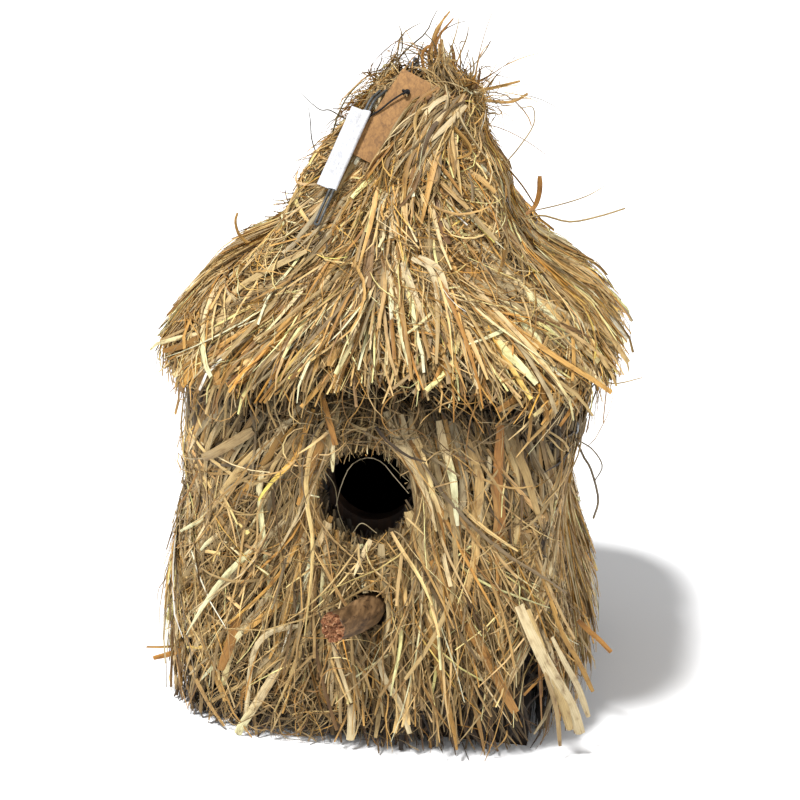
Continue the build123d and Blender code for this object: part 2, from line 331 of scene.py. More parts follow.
def outward(points, course):
    """Unit normals of the straw's face at these points."""
    phi = np.arctan2(points[..., 0], -points[..., 1])
    s, c = np.sin(phi), np.cos(phi)
    flat = np.stack((s * np.abs(s) ** 1.6, -c * np.abs(c) ** 1.6), -1)
    flat /= np.linalg.norm(flat, axis=-1, keepdims=True)
    rise = np.zeros(s.shape)
    if course is roof_course:
        rise = np.interp(points[..., 2], (176, 192), (0.0, 0.5736))
    return np.concatenate((flat * np.sqrt(1 - rise**2)[..., None], rise[..., None]), -1)


def hanger_limit(points):
    """The most depth n for a strand's middle line near the hanger; its edges can still reach the wire."""
    along = points[..., :2] @ HANGER_ALONG
    across = points[..., :2] @ HANGER_ACROSS
    off = np.maximum(np.maximum(-along, along - 82), np.maximum(-11 - across, across - 5))
    return 0.97 + 0.05 * np.maximum(off, 0)


def march(course, rng, phi, z, heading, length, n_start, n_end, power, curl, wander, waviness, steps=22):
    """Walks each strand down the face: heading is measured from the fall line towards +phi."""
    count = len(phi)
    step = length / steps
    phi, z, heading = phi.copy(), z.copy(), heading.copy()
    drift = rng.normal(0, 1, count)
    phase, sway = rng.uniform(0, 2 * math.pi, (2, count))
    waves = rng.uniform(0.8, 2.6, count)
    kink_at = rng.integers(5, 6 * steps, count)
    kink = rng.normal(0, 0.55, count)
    out = np.empty((count, steps + 1, 3))
    for i in range(steps + 1):
        u = i / steps
        n = n_start + (n_end - n_start) * u**power + 0.035 * np.sin(phase + waves * 2 * math.pi * u)
        n = np.where(n > 1, 1 + 0.42 * np.tanh((n - 1) / 0.42), n)
        n = np.minimum(n, hanger_limit(place(course, phi, z, n)))
        out[:, i] = place(course, phi, z, n)
        steep = np.interp(z, (170, 186), (0.985, 0.819)) if course is roof_course else 1.0
        r = np.maximum(radius_at(course, phi, z, n), 6.0)
        bearing = heading + waviness * np.sin(sway + waves * 2 * math.pi * u)
        z = z - step * np.cos(bearing) * steep
        phi = phi + step * np.sin(bearing) / r
        drift = 0.8 * drift + 0.6 * rng.normal(0, 1, count)
        heading = heading + (curl + wander * drift) * step + np.where(kink_at == i, kink, 0)
    return out


def roam(rng, start, direction, length, curl, droop, steps=20):
    """Walks free strands through the air from start, curling about a slowly turning axis."""
    count = len(start)
    at = start.astype(float).copy()
    d = direction / np.linalg.norm(direction, axis=1, keepdims=True)
    axis = rng.normal(0, 1, (count, 3))
    step = (length / steps)[:, None]
    out = np.empty((count, steps + 1, 3))
    for i in range(steps + 1):
        out[:, i] = at
        axis = axis + 0.35 * rng.normal(0, 1, (count, 3))
        side = np.cross(axis, d)
        side /= np.maximum(np.linalg.norm(side, axis=1, keepdims=True), 1e-6)
        d = d + side * curl[:, None] * step + np.array((0, 0, -1.0)) * droop[:, None] * step
        d /= np.linalg.norm(d, axis=1, keepdims=True)
        at = at + d * step
    return out


def resample(points, start, end, rows):
    """Each strand from its own start to its own end, both shares of its length, as rows of points."""
    last = points.shape[1] - 1
    share = start[:, None] + (end - start)[:, None] * np.linspace(0, 1, rows)[None]
    t = np.clip(share * last, 0, last - 1e-6)
    i = t.astype(int)
    f = (t - i)[..., None]
    k = np.arange(len(points))[:, None]
    return points[k, i] * (1 - f) + points[k, i + 1] * f


def part_round(points, centre, clear):
    """Moves the points in front of the box sideways, out of a round space about centre."""
    dx = points[..., 0] - centre[0]
    dz = points[..., 2] - centre[1]
    d = np.maximum(np.hypot(dx, 0.9 * dz), 0.5)
    grown = (d**4 + clear**4) ** 0.25 / d
    grown = np.where((points[..., 1] < FRONT_Y) & (np.abs(points[..., 0]) < 78), grown, 1.0)
    moved = points.copy()
    moved[..., 0] = centre[0] + dx * grown
    moved[..., 2] = centre[1] + dz * grown
    return moved


def open_hole(points, rng, centre, clear, start, end):
    """Parts the strands round a hole; one that would cross it keeps only its part above or below."""
    last = points.shape[1] - 1
    d = np.hypot(points[..., 0] - centre[0], 0.9 * (points[..., 2] - centre[1]))
    inside = (d < clear * rng.uniform(0.84, 1.05, len(points))[:, None]) & (points[..., 1] < FRONT_Y)
    crosses = inside.any(1) & (d.min(1) < 0.8 * clear)
    first = np.maximum(inside.argmax(1) - 1, 0) / last
    final = np.minimum(last - inside[:, ::-1].argmax(1) + 1, last) / last
    above = rng.uniform(0, 1, len(points)) < np.where(final > 0.9, 1.0, 0.6)
    end = np.where(crosses & above, np.minimum(end, first), end)
    start = np.where(crosses & ~above, np.maximum(start, final), start)
    points = np.where(crosses[:, None, None], points, part_round(points, centre, clear))
    return points, start, end


def spans_hole(points):
    """Whether a strand's straight stretches still cross the entrance."""
    middle = (points[:, 1:] + points[:, :-1]) / 2
    off = np.hypot(middle[..., 0] - ENTRANCE[0], middle[..., 2] - ENTRANCE[1])
    return ((off < 18) & (middle[..., 1] < FRONT_Y)).any(1)


def lateral(points, side):
    """How far points lie to the side, as a share of how far they lie out."""
    s, c = math.sin(SIDE_PHI[side]), math.cos(SIDE_PHI[side])
    out = points[..., 0] * s - points[..., 1] * c
    return (points[..., 0] * c + points[..., 1] * s) / np.maximum(out, 1.0)


def ragged(side, t, size):
    """An uneven edge line of about that size in mm, different on every side."""
    p = 1.7 * SIDE_PHI[side]
    waves = 0.5 * np.sin(3.1 * t + p) + 0.3 * np.sin(7.3 * t + 2 * p + 1)
    return size * (waves + 0.2 * np.sin(15.1 * t + 3 * p + 2))


def hem(side, t):
    """Height of the wall straw's lower edge."""
    if side == "front":
        return np.interp(t, (-1.05, -0.85, -0.6, 0.5, 0.74, 0.95), (7, 3, 0.5, 0.5, 1.5, 7))
    return 1 + np.maximum(ragged(side, t, 4), 0)


def eave(side, t):
    """Height of the roof straw's lower edge."""
    if side == "front":
        return np.interp(t, (-1, -0.66, -0.3, 0.04, 0.25, 0.63, 0.8, 0.95),
                         (164, 166, 174, 184, 186, 176, 174, 178))
    return 174 + ragged(side, t, 8)


def lip(side, t):
    """Height of the upper course's lower edge."""
    return 231 + ragged(side, t, 5)


def tag_frame():
    """The swing tag's two edge directions, along its top and up its side."""
    level = np.array((*HANGER_ACROSS, 0.0))
    level -= FACE * (FACE @ level)
    level /= np.linalg.norm(level)
    rising = np.cross(FACE, level)
    c, s = math.cos(TAG_TURN), math.sin(TAG_TURN)
    return level * c + rising * s, rising * c - level * s


def clear_tag(points):
    """Keeps strands off the swing tag: returns them with those that lie over its bare part left out."""
    level, rising = tag_frame()
    rel = points - TAG_CORNER
    m, v, h = rel @ level, -rel @ rising, rel @ FACE
    over = (m > -1.5) & (m < TAG_SIZE[0] + 1.5) & (v > -1.5) & (v < TAG_SIZE[1] + 1.5)
    bare = over & ((m < 12.5) | (v < 15)) & (h > -1.2)
    under = (over & (h < -1.2)).any(1)[:, None]
    goal = np.where(under, np.minimum(h, -1.2), np.maximum(h, 1.0))
    moved = points + FACE * np.where(over, goal - h, 0.0)[..., None]
    return moved, ~(bare & ~under).any(1)


def part_gap(points, rng):
    """Parts the strands round the slit low on the right of the front, which lets the board show."""
    dx = points[..., 0] - 82 - 0.08 * (40 - points[..., 2])
    dz = (points[..., 2] - 38) * 0.22
    d = np.maximum(np.hypot(dx, dz), 0.5)
    near = (points[..., 1] < -66) & (points[..., 0] > 60)
    moved = points.copy()
    moved[..., 0] += dx * np.where(near, (d**4 + 6.5**4) ** 0.25 / d - 1, 0)
    crosses = ((d < 5) & near).any(1)
    return moved, ~(crosses & (rng.uniform(0, 1, len(points)) < 0.85))


STEM = np.radians((90, 210, 330, 90))
SECTIONS = {
    "stem": (np.cos(STEM), np.sin(STEM)),
    "fold": (np.array((-1.0, 0.0, 1.0)), np.array((0.0, 0.36, 0.0))),
    "flat": (np.array((-1.0, 1.0)), np.zeros(2)),
}
UV_SPREAD = 900


class Bundle:
    """Strands gathered into one mesh."""

    def __init__(self):
        self.points, self.quads, self.maps, self.tints, self.total = [], [], [], [], 0

    def take(self, grid, maps, tints):
        """grid is strands x rows x columns x 3, maps the same x 2, tints strands x rows x 3."""
        count, rows, columns = grid.shape[:3]
        index = np.arange(count * rows * columns).reshape(count, rows, columns) + self.total
        quads = np.stack((index[:, :-1, :-1], index[:, :-1, 1:], index[:, 1:, 1:], index[:, 1:, :-1]), -1)
        self.points.append(grid.reshape(-1, 3))
        self.maps.append(maps.reshape(-1, 2))
        self.tints.append(np.repeat(tints[:, :, None], columns, 2).reshape(-1, 3))
        self.quads.append(quads.reshape(-1, 4))
        self.total += count * rows * columns

    def strands(self, rng, points, normals, width, tints, shape="fold", roll=0.4, twist=0.6, tip=0.9):
        """Adds a strand of one of the SECTIONS along each row of points. width is in mm."""
        count, rows = points.shape[:2]
        u = np.linspace(0, 1, rows)
        tangent = np.gradient(points, axis=1)
        tangent /= np.maximum(np.linalg.norm(tangent, axis=2, keepdims=True), 1e-9)
        across = np.cross(tangent, normals)
        across /= np.maximum(np.linalg.norm(across, axis=2, keepdims=True), 1e-6)
        up = np.cross(across, tangent)
        angle = rng.normal(0, roll, count)[:, None] + rng.normal(0, twist, count)[:, None] * (u[None] - 0.3)
        ca, sa = np.cos(angle)[..., None], np.sin(angle)[..., None]
        across, up = across * ca + up * sa, up * ca - across * sa
        sharp = tip * np.sqrt(rng.uniform(0, 1, count))[:, None]
        profile = (1 - sharp * u[None] ** 3) * (0.7 + 0.3 * np.minimum(1, u[None] / 0.12))
        half = width[:, None] * profile / 2
        spread, lift = SECTIONS[shape]
        section = across[:, :, None] * spread[:, None] + up[:, :, None] * lift[:, None]
        grid = points[:, :, None] + half[..., None, None] * section
        length = np.linalg.norm(np.diff(points, axis=1), axis=2).sum(1)
        columns = len(spread)
        first = rng.uniform(0, UV_SPREAD, count)[:, None, None]
        maps = np.empty((count, rows, columns, 2))
        maps[..., 0] = first + np.linspace(0, 1, columns) * width[:, None, None]
        first = rng.uniform(0, UV_SPREAD, count)[:, None, None]
        maps[..., 1] = first + (u[None] * length[:, None])[..., None]
        self.take(grid, maps, tints)

    def object(self, name, nodes):
        """The finished piece, which stands for the CAD nodes named."""
        points = np.concatenate(self.points) * MM
        quads = np.concatenate(self.quads)
        maps = np.concatenate(self.maps)
        tints = np.concatenate(self.tints)
        mesh = bpy.data.meshes.new(name)
        mesh.vertices.add(len(points))
        mesh.vertices.foreach_set("co", points.astype(np.float32).ravel())
        mesh.loops.add(quads.size)
        mesh.loops.foreach_set("vertex_index", quads.astype(np.int32).ravel())
        mesh.polygons.add(len(quads))
        mesh.polygons.foreach_set("loop_start", np.arange(0, quads.size, 4, dtype=np.int32))
        mesh.polygons.foreach_set("use_smooth", np.ones(len(quads), bool))
        mesh.update(calc_edges=True)
        layer = mesh.uv_layers.new(name="strand")
        layer.data.foreach_set("uv", maps[quads.ravel()].astype(np.float32).ravel())
        tint = mesh.color_attributes.new("tint", "FLOAT_COLOR", "POINT")
        tint.data.foreach_set("color", np.c_[tints, np.ones(len(tints))].astype(np.float32).ravel())
        mesh.materials.append(STRAW)
        mesh.validate()
        made = shown(name, mesh)
        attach(made, "house")
        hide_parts(*nodes)


# ---------------------------------------------------------------- straw colours

CREAM, PALE, BEIGE = (250, 236, 196), (230, 206, 150), (200, 176, 130)
GOLD, AMBER, RUST = (212, 170, 94), (190, 142, 66), (140, 98, 50)
KHAKI, GREY, BROWN, DARK = (174, 150, 104), (150, 136, 110), (124, 96, 58), (66, 50, 32)

TONE = np.array((0.7, 0.655, 0.595))
TINT_SPREAD = 0.36

PALETTES = {
    "wall": ((CREAM, 0.08), (PALE, 0.2), (BEIGE, 0.22), (KHAKI, 0.24), (GOLD, 0.12), (AMBER, 0.05),
             (BROWN, 0.07), (GREY, 0.02)),
    "wall_deep": ((KHAKI, 0.35), (BROWN, 0.35), (BEIGE, 0.1), (DARK, 0.15), (GOLD, 0.05)),
    "roof": ((CREAM, 0.14), (PALE, 0.25), (GOLD, 0.25), (AMBER, 0.12), (BEIGE, 0.13), (KHAKI, 0.06),
             (RUST, 0.03), (BROWN, 0.02)),
    "roof_deep": ((GOLD, 0.25), (BROWN, 0.35), (AMBER, 0.15), (KHAKI, 0.15), (DARK, 0.1)),
    "blade": ((CREAM, 0.4), (PALE, 0.25), (AMBER, 0.15), (GOLD, 0.2)),
    "wisp": ((PALE, 0.35), (KHAKI, 0.25), (GREY, 0.2), (DARK, 0.1), (GOLD, 0.1)),
}


def tinted(rng, palette, count, rows, depth):
    """A tint for each strand and row: its own colour, with painted shade that darkens it where it lies deep,
    paler at its tip.
    """
    colours, shares = zip(*PALETTES[palette])
    shares = np.array(shares) / sum(shares)
    table = np.array([linear(*c) for c in colours])
    pick = rng.choice(len(table), count, p=shares)
    other = rng.choice(len(table), count, p=shares)
    blend = rng.uniform(0, 0.35, count)[:, None]
    base = table[pick] * (1 - blend) + table[other] * blend
    base = base * np.exp(rng.normal(0, TINT_SPREAD, count))[:, None]
    u = np.linspace(0, 1, rows)[None]
    ripple = rng.normal(0, 0.06, (count, 1))
    fade = 0.82 + 0.25 * u + ripple * np.sin(5 * u + rng.uniform(0, 6, (count, 1)))
    # Painted shade: strands that lie deep, under other straw and near the boards, are darkened.
    painted_shade = 0.06 + 0.94 * np.clip(depth, 0, 1.15) ** 2.7
    return np.clip(TONE * base[:, None] * (fade * painted_shade)[..., None], 0.004, 0.95)


def depth_of(points, course):
    """Depth n of points between the boards and the straw's face."""
    phi = np.arctan2(points[..., 0], -points[..., 1])
    r = np.hypot(points[..., 0], points[..., 1])
    low = radius_at(course, phi, points[..., 2], np.zeros(phi.shape))
    high = radius_at(course, phi, points[..., 2], np.ones(phi.shape))
    return (r - low) / np.maximum(high - low, 1.0)


# ---------------------------------------------------------------- straw on one side

# The lateral share where a strand has left its side, and the room round the holes, the floor and the eye
ASTRAY = 2.2
ENTRANCE_CLEAR = 20.8
PERCH_CLEAR = 8.4
LOWEST_Z = 0.8
EYE_CLEAR = 10
EYE_BOTTOM_Z = 296


def settle(bundle, rng, side, course, points, width, palette, shape, rows, roll, twist=0.6, tip=0.9):
    """Trims strands at the hem, the holes, the gap and the tag, and adds what is left of them."""
    count, last = len(points), points.shape[1] - 1
    start, end = np.zeros(count), np.ones(count)
    astray = np.abs(lateral(points, side)) > ASTRAY
    end = np.minimum(end, np.where(astray.any(1), astray.argmax(1), last) / last)
    if course is wall_course:
        centre = (ENTRANCE[0] - 0.5, ENTRANCE[1] - 1.5)
        points, start, end = open_hole(points, rng, centre, ENTRANCE_CLEAR, start, end)
        points, start, end = open_hole(points, rng, PERCH_ROOT, PERCH_CLEAR, start, end)
        low = points[..., 2] < hem(side, lateral(points, side)) + rng.exponential(1.2, count)[:, None]
        end = np.minimum(end, np.where(low.any(1), low.argmax(1), last) / last)
    points[..., 2] = np.maximum(points[..., 2], LOWEST_Z)
    keep = end - start > 0.1
    if course is wall_course:
        points, free = part_gap(points, rng)
        keep &= free
    else:
        by_eye = (np.hypot(points[..., 0], points[..., 1]) < EYE_CLEAR) & (points[..., 2] > EYE_BOTTOM_Z)
        keep &= ~by_eye.any(1)
        if side == "front":
            points, free = clear_tag(points)
            keep &= free
    points = resample(points[keep], start[keep], end[keep], rows)
    width = width[keep]
    if course is wall_course:
        open_way = ~spans_hole(points)
        points, width = points[open_way], width[open_way]
    depth = depth_of(points, course)
    if course is wall_course:
        # Painted shadow under the eaves: the wall straw counts as lying deeper towards its top, so the
        # painted shade darkens it there.
        depth = depth * np.interp(points[..., 2], (148, 170), (1.0, 0.72))
    tints = tinted(rng, palette, len(points), rows, depth)
    bundle.strands(rng, points, outward(points, course), width, tints, shape, roll, twist, tip)


def hang(bundle, rng, side, course, count, tips, lengths, depth, widths, palette, shape, rows, *, base,
         fan=0.7, stray=0.13, curl=0.004, wander=0.004, waviness=0.08, top=172.0, lift=0.12, clumps=0,
         roll=0.4, tip=0.92, reach=(-1.0, 1.0)):
    """Hangs count strands on one side, their tips above an edge line. Ranges are in mm and in depth n."""
    t = rng.uniform(*reach, count)
    rise = rng.uniform(*tips, count)
    length = rng.uniform(*lengths, count)
    heading = rng.normal(0, stray, count)
    bend = rng.normal(0, curl, count)
    sunk = swell = 0.0
    if clumps:
        of = rng.integers(0, clumps, count)
        share = rng.uniform(0.55, 1.0, count)
        t = t * (1 - share) + rng.uniform(*reach, clumps)[of] * share + rng.normal(0, 0.03, count)
        heading = heading * 0.55 + rng.normal(0, 0.1, clumps)[of]
        bend = bend * 0.5 + rng.normal(0, curl, clumps)[of]
        rise = rise * 0.4 + rng.uniform(*tips, clumps)[of] * 0.6
        sunk = -0.3 * rng.uniform(0, 1, clumps)[of] ** 2
        swell = rng.exponential(0.16, clumps)[of]
    p = 2.3 * SIDE_PHI[side] + (1.0 if course is wall_course else 0.0)
    heading = heading + fan * np.sign(t) * np.abs(t) ** 1.25
    heading = heading + 0.13 * np.sin(5.2 * t + p) + 0.1 * np.sin(9.7 * t + 2 * p + rise / 30)
    tip_z = base(side, t) + rise
    steep = 0.84 if course is roof_course else 1.0
    fall = np.maximum(np.cos(heading) * steep, 0.3)
    z = np.minimum(tip_z + length * fall, top + rng.uniform(-6, 0, count))
    length = np.maximum((z - tip_z) / fall, 12.0)
    half = np.maximum(radius_at(course, np.zeros(count), z, np.full(count, 0.6)), 8.0)
    t = np.clip(t - 0.5 * length * np.sin(heading) / half, -1.05, 1.05)
    n_start = rng.uniform(*depth, count) + sunk
    n_end = n_start + rng.exponential(lift, count) + swell
    points = march(course, rng, SIDE_PHI[side] + np.arctan(t), z, heading, length, n_start, n_end,
                   rng.uniform(1.2, 3, count), bend, wander, waviness * rng.uniform(0.2, 1.8, count))
    width = rng.uniform(widths[0] ** 0.5, widths[1] ** 0.5, count) ** 2
    settle(bundle, rng, side, course, points, width, palette, shape, rows, roll, tip=tip)


def tangle(bundle, rng, side, course, count, reach, heights, lengths=(18, 60), widths=(0.3, 0.8),
           depth=(0.7, 1.12), palette="wall", curl=0.09):
    """Adds curly fibres on one side between two lateral shares and two heights."""
    t = rng.uniform(*reach, count)
    z = rng.uniform(*heights, count)
    heading = rng.uniform(-math.pi, math.pi, count)
    n_start = rng.uniform(*depth, count)
    n_end = n_start + rng.normal(0, 0.14, count)
    bend = curl * rng.choice((-1, 1), count) * rng.uniform(0.2, 1.0, count)
    points = march(course, rng, SIDE_PHI[side] + np.arctan(t), z, heading, rng.uniform(*lengths, count),
                   n_start, n_end, np.ones(count), bend, 0.05, np.zeros(count))
    width = rng.uniform(*widths, count)
    settle(bundle, rng, side, course, points, width, palette, "flat", 11, 1.0, twist=2.0)


SINGLE_ROWS = 15


def smooth(points, rows):
    """A smooth line through a few points, as rows of points."""
    p = np.array(points, float)
    p = np.concatenate((2 * p[:1] - p[1:2], p, 2 * p[-1:] - p[-2:-1]))
    t = np.linspace(0, len(points) - 1 - 1e-6, rows)
    i = t.astype(int)
    f = (t - i)[:, None]
    a, b, c, d = p[i], p[i + 1], p[i + 2], p[i + 3]
    return 0.5 * (2 * b + (c - a) * f + (2 * a - 5 * b + 4 * c - d) * f**2 + (3 * b - a - 3 * c + d) * f**3)


def single(bundle, rng, course, width, colour, points, shape="fold", tip=0.4):
    """One chosen strand. Points are (x, z, n) on the front, or (x, y, z) where course is None."""
    line = smooth(points, SINGLE_ROWS)
    if course is not None:
        x, z, n = line.T
        phi = np.arctan2(x, np.full(len(x), 95.0))
        for _ in range(8):
            phi = np.arcsin(np.clip(x / radius_at(course, phi, z, n), -0.99, 0.99))
        line = place(course, phi, z, n)
        normals = outward(line[None], course)
    else:
        normals = np.broadcast_to(np.array((0.0, -0.94, 0.34)), line.shape)[None]
    tints = TONE**0.6 * linear(*colour) * np.linspace(0.92, 1.08, SINGLE_ROWS)[:, None]
    width = np.array([float(width)])
    bundle.strands(rng, line[None], normals, width, tints[None], shape, roll=0.15, twist=0.3, tip=tip)


WALL_SINGLES = (
    (5.0, (206, 156, 84), ((31, 99, 1.03), (45, 77, 1.08), (59, 55, 1.1), (74, 26, 1.14)), 0.5),
    (3.0, CREAM, ((10, 50, 1.05), (12.8, 41, 1.12), (20, 29, 1.1), (26, 13, 1.12)), 0.3),
    (4.0, CREAM, ((-2.5, 24, 1.02), (-1.8, 15, 1.08), (-2, 6, 1.12)), 0.1),
    (2.6, CREAM, ((-27, 62, 1.06), (-41, 58, 1.14), (-49, 47, 1.12), (-52, 24, 1.08), (-53, 2, 1.08)), 0.1),
    (2.4, CREAM, ((-55, 97, 1.02), (-63, 79, 1.12), (-79, 60, 1.25)), 0.6),
    (4.8, BEIGE, ((-53, 154, 1.04), (-65, 145, 1.1), (-78, 135, 1.16)), 0.2),
    (5.0, (200, 150, 80), ((-57, 69, 1.02), (-61, 49, 1.07), (-66, 33, 1.1)), 0.3),
    (3.0, (196, 146, 74), ((-23, 174, 1.15), (-18, 163, 1.14), (-14.7, 152, 1.12)), 0.3),
    (4.4, (196, 142, 76), ((58, 166, 1.0), (58.5, 142, 1.04), (61, 120, 1.05), (58.5, 100, 1.06)), 0.5),
    (4.0, (204, 152, 82), ((80, 76, 1.0), (83, 50, 1.05), (86, 18, 1.1)), 0.3),
    (3.4, (196, 146, 82), ((84, 62, 1.02), (92, 40, 1.06), (95, 16, 1.12)), 0.4),
    (5.5, PALE, ((19, 122, 1.0), (25, 106, 1.04), (30, 92, 1.05)), 0.3),
)
CORNER_BLADES = (
    (6.5, CREAM, ((105, -86, 13), (98, -91, 31), (90, -97, 47), (82, -100, 63), (72, -99, 82))),
    (4.5, PALE, ((100, -89, 16), (95, -93, 33), (88, -98, 50), (82, -99, 66), (76, -98, 80))),
    (3.0, CREAM, ((108, -82, 20), (102, -86, 37), (95, -92, 52), (88, -95, 66))),
    (2.4, GOLD, ((109, -79, 32), (101, -85, 50), (93, -92, 66), (86, -95, 84))),
    (2.2, BEIGE, ((96, -91, 8), (93, -94, 28), (88, -98, 45), (83, -99, 60))),
)
HOLE_FIBRE = ((-14, 121, 1.0), (-12, 131, 0.9), (-8, 141, 0.85), (-1, 145.5, 0.85), (6, 144, 0.85),
              (12, 138, 0.9), (19, 131, 1.0))
HOLE_FIBRES = (
    ((-21, 140, 1.0), (-15, 131, 0.95), (-13, 118, 0.95), (-9, 108, 1.0)),
    ((8, 147, 1.0), (13, 141, 0.9), (19, 137, 1.0)),
    ((-6, 108, 1.02), (-2, 113, 0.95), (5, 109, 1.0)),
)
LOWER_SINGLES = (
    (3.2, CREAM, ((8, 231, 1.1), (15, 219, 1.12), (23, 205, 1.1)), 0.2),
    (2.6, CREAM, ((15, 234, 1.14), (26, 228, 1.16), (34, 206, 1.12)), 0.2),
    (2.6, CREAM, ((12, 233, 1.12), (22, 228, 1.14), (29, 207, 1.1)), 0.2),
    (5.0, (168, 136, 92), ((-9, 245, 1.06), (-7.5, 233, 1.1), (-6.7, 220, 1.1)), 0.2),
    (3.0, PALE, ((-36, 232, 1.06), (-54, 222, 1.12), (-68, 211, 1.16), (-73, 196, 1.12)), 0.4),
)
UPPER_SINGLES = (
    (5.5, CREAM, ((0.7, 262, 1.06), (2, 251, 1.1), (2.6, 240, 1.12)), 0.35),
    (4.2, (140, 106, 66), ((18, 260, 1.04), (22, 250, 1.08), (27, 239, 1.08)), 0.3),
)
WISPS = (
    (2.6, (202, 150, 78), ((99, -60, 59), (104, -60, 54.5), (110, -60, 49.8),
     (116, -60, 44)), "fold", "right"),
    (3.0, (206, 150, 66), ((-78, -70, 36), (-86, -72, 30), (-97, -72, 24.5),
     (-106, -71, 20.5)), "fold", "left"),
    (1.6, (216, 168, 80), ((-80, -70, 33), (-90, -72, 30), (-101, -71, 27),
     (-110, -69, 25)), "stem", "left"),
    (1.3, GREY, ((90, -62, 153), (95, -62, 143), (99, -60, 136), (103.5, -58, 121),
     (102, -58, 111)), "stem", "right"),
    (0.7, GREY, ((92, -60, 150), (99, -60, 146), (104, -59, 138), (101, -59, 130)), "flat", "right"),
)
ROOF_WISPS = (
    (2.2, (206, 150, 72), ((26, -6, 286), (33, -2, 282), (36.5, 0, 275), (40, 0, 270))),
    (2.0, GOLD, ((11, 0, 291), (25, 2, 296), (36, 3, 298.5), (50, 3, 303))),
    (1.6, (220, 180, 110), ((20, 0, 293), (34, 2, 293), (43, 3, 292.5), (49, 3, 294), (54, 3, 297.5))),
    (0.8, PALE, ((44, -2, 262), (52, -2, 273), (58, -2, 284), (57, -2, 292), (51, -2, 291))),
    (2.6, (198, 146, 76), ((63, -10, 261.5), (63.4, -10, 254), (61.8, -10, 247), (58, -12, 243))),
    (1.0, GOLD, ((46, -10, 266), (55, -10, 256.5), (61.8, -10, 247.4))),
    (1.1, PALE, ((58, -22, 243), (66, -20, 245), (79, -20, 243), (92.7, -20, 246.8), (104, -20, 251.4))),
    (0.8, PALE, ((60, -18, 246), (74, -16, 250), (86, -16, 255), (95, -15, 261))),
    (1.6, GOLD, ((-60, -22, 226), (-67, -20, 222.6), (-73, -20, 220.6), (-78, -20, 224.2),
     (-80, -20, 230.4), (-79, -20, 235))),
    (0.8, (120, 112, 96), ((-24, -12, 283), (-30.4, -10, 282), (-37.7, -10, 285.4), (-43, -10, 285.5),
     (-52, -10, 292.5))),
    (0.7, (120, 112, 96), ((-43, -12, 264), (-46, -10, 271), (-47, -10, 280), (-48.3, -10, 287))),
    (0.9, (176, 170, 120), ((-38, -14, 262), (-35, -12, 278.5), (-30.7, -10, 290.6), (-24.8, -8, 298),
     (-19.3, -8, 301.7))),
    (0.9, PALE, ((88, -40, 180), (96, -42, 176), (106, -42, 173), (119, -40, 176.5))),
)
TUFT = (
    (2.4, (200, 150, 80), ((10, 4, 288), (9, 4, 300), (6.5, 4, 312), (9, 4, 321.5), (13, 4, 331))),
    (1.8, (184, 134, 70), ((12, 5, 290), (12, 4, 305), (9, 4, 315), (11, 4, 322), (17, 3, 330))),
    (1.5, (222, 182, 112), ((11, 2, 295), (8, 3, 308.7), (7.5, 4, 317), (9, 4, 324), (15, 4, 333))),
    (2.2, (206, 164, 92), ((14, 2, 292), (14.5, 2, 303), (13, 2, 312), (12, 3, 320))),
    (2.0, (150, 110, 64), ((17, 2, 292), (17.5, 1, 303), (18.5, 0, 312), (17, 0, 318))),
    (1.6, (206, 150, 76), ((7, 5, 290), (3.5, 9, 304), (2.5, 10, 312), (6, 9, 316))),
    (1.4, PALE, ((20, 2, 290), (25, 1, 300), (28, 1, 307), (27, 1, 313))),
    (1.5, (128, 96, 60), ((24, 0, 288), (29, 0, 297), (31, 0, 305), (30.5, 0, 309))),
)


# Layers of hanging straw, the deepest first: count, heights of the tips over the edge line, lengths,
# depths n, widths, palette, shape, rows and what else differs
WALL_LAYERS = (
    (620, (0, 110), (80, 175), (0.02, 0.4), (1.6, 4.0), "wall_deep", "fold", 8, {"clumps": 90}),
    (850, (0, 90), (90, 185), (0.3, 0.95), (0.8, 1.7), "wall", "stem", 9, {"clumps": 90}),
    (1350, (-2, 95), (75, 180), (0.3, 1.0), (0.9, 2.5), "wall", "fold", 10, {"clumps": 110}),
    (2300, (0, 125), (60, 165), (0.45, 1.03), (0.4, 1.0), "wall", "flat", 10,
     {"roll": 0.9, "wander": 0.005, "curl": 0.005, "waviness": 0.07, "clumps": 150}),
    (130, (2, 120), (40, 120), (0.92, 1.03), (2.0, 4.6), "blade", "fold", 10, {"lift": 0.1, "tip": 0.9}),
    (130, (6, 150), (20, 55), (0.85, 1.05), (0.5, 1.8), "wisp", "fold", 9,
     {"lift": 0.45, "stray": 0.5, "curl": 0.02}),
    (420, (-4, 3), (25, 70), (0.05, 0.8), (1.0, 2.8), "wall_deep", "fold", 6,
     {"top": 80, "fan": 0.45, "lift": 0.04, "clumps": 60}),
    *((170, (70, 125), (45, 100), (0.1, 0.95), (1.0, 2.6), "wall", "fold", 8,
       {"reach": corner, "fan": 0.2, "clumps": 20}) for corner in ((-1.02, -0.66), (0.66, 1.02))),
)
UNDER_ENTRANCE = (
    (420, (0, 50), (25, 90), (0.4, 1.03), (0.8, 2.4), "wall", "fold", 9,
     {"top": 104, "reach": (-0.3, 0.34), "clumps": 50}),
)
